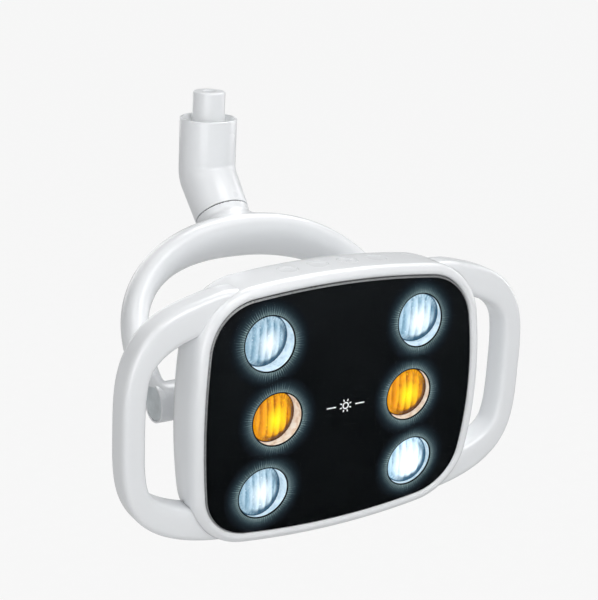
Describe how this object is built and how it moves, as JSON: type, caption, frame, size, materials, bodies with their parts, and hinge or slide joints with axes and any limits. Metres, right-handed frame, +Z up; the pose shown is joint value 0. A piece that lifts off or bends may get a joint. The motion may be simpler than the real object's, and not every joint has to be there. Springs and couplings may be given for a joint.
{
  "type": "dental operating light",
  "caption": "Dental operating light head with round lamp windows behind dark glass, side grip handles and a tilting arched yoke on a swivelling elbow and spigot.",
  "frame": {"origin": "centre of the spigot's upper end face", "axes": "+Z up along the spigot, +X across the head to the viewer's right, the light shines towards -Y"},
  "size_m": [0.2862, 0.2049, 0.2442],
  "materials": {
    "white_shell": "glossy white moulded plastic",
    "white_elbow": "glossy white moulded plastic",
    "white_spigot": "white coated tube",
    "key_cap": "glossy white with a fine grey symbol",
    "grey_cap": "satin mid grey",
    "front_glass": "clear polished",
    "window_mask": "deep black print with grey ray rings round the windows",
    "clear_lens": "clear fluted",
    "amber_lens": "clear fluted, lit amber",
    "cool_cup": "satin white, lit pale blue",
    "warm_cup": "satin white, lit peach",
    "led_board": "white lacquered board",
    "circuit_board": "green lacquered board",
    "steel": "plain machined",
    "aluminium": "plain extruded",
    "nylon": "natural nylon",
    "black_rubber": "matt black"
  },
  "bodies": {
    "spigot": {"spigot_tube": "white_spigot", "spigot_circlip": "steel"},
    "elbow": {"elbow_cover": "white_elbow", "upper_bushing": "nylon", "thrust_washer": "steel", "lower_bushing": "nylon", "grub_screw": "steel"},
    "yoke": {"yoke_arm": "white_shell", "neck_shaft": "steel", "neck_circlip": "steel", "swivel_washer": "black_rubber", "pivot_end_cap_left": "grey_cap", "pivot_end_cap_right": "grey_cap", "disc_spring_left": "steel", "disc_spring_right": "steel", "friction_washer_left": "nylon", "friction_washer_right": "nylon"},
    "head": {"cover_screw_1": "steel", "cover_screw_2": "steel", "cover_screw_3": "steel", "cover_screw_4": "steel", "driver_board": "circuit_board", "front_glass": "front_glass", "front_housing": "white_shell", "glass_seal": "black_rubber", "handle_left": "white_shell", "handle_right": "white_shell", "handle_screw_1": "steel", "handle_screw_2": "steel", "handle_screw_3": "steel", "handle_screw_4": "steel", "heat_sink": "aluminium", "key_board": "circuit_board", "led_board_lower_left": "led_board", "led_board_lower_right": "led_board", "led_board_middle_left": "led_board", "led_board_middle_right": "led_board", "led_board_upper_left": "led_board", "led_board_upper_right": "led_board", "lens_cup_lower_left": "cool_cup", "lens_cup_lower_right": "cool_cup", "lens_cup_middle_left": "warm_cup", "lens_cup_middle_right": "warm_cup", "lens_cup_upper_left": "cool_cup", "lens_cup_upper_right": "cool_cup", "lens_lower_left": "clear_lens", "lens_lower_right": "clear_lens", "lens_middle_left": "amber_lens", "lens_middle_right": "amber_lens", "lens_upper_left": "clear_lens", "lens_upper_right": "clear_lens", "pivot_bolt_left": "steel", "pivot_bolt_right": "steel", "rear_cover": "white_shell", "tilt_bracket": "steel", "window_mask": "window_mask"},
    "key_power": {"key_power": "key_cap"},
    "key_dimmer": {"key_dimmer": "key_cap"},
    "key_brighter": {"key_brighter": "key_cap"},
    "key_colour": {"key_colour": "key_cap"}
  },
  "joints": [
    {"name": "elbow_swivel", "type": "hinge", "parent": "spigot", "child": "elbow", "pos_m": [0, 0, -0.034], "axis": [0, 0, 1], "range_deg": [-165, 165]},
    {"name": "yoke_swivel", "type": "hinge", "parent": "elbow", "child": "yoke", "pos_m": [0, -0.02333, -0.08013], "axis": [0, 0.7071, 0.7071], "range_deg": [-90, 90]},
    {"name": "head_tilt", "type": "hinge", "parent": "yoke", "child": "head", "pos_m": [0, -0.12007, -0.16597], "axis": [1, 0, 0], "range_deg": [-30, 90]},
    {"name": "key_power_press", "type": "slide", "parent": "head", "child": "key_power", "axis": [0, 0, -1], "range_m": [0, 0.0008], "stiffness_N_per_m": 600, "springref_m": -0.0006},
    {"name": "key_dimmer_press", "type": "slide", "parent": "head", "child": "key_dimmer", "axis": [0, 0, -1], "range_m": [0, 0.0008], "stiffness_N_per_m": 600, "springref_m": -0.0006},
    {"name": "key_brighter_press", "type": "slide", "parent": "head", "child": "key_brighter", "axis": [0, 0, -1], "range_m": [0, 0.0008], "stiffness_N_per_m": 600, "springref_m": -0.0006},
    {"name": "key_colour_press", "type": "slide", "parent": "head", "child": "key_colour", "axis": [0, 0, -1], "range_m": [0, 0.0008], "stiffness_N_per_m": 600, "springref_m": -0.0006}
  ]
}
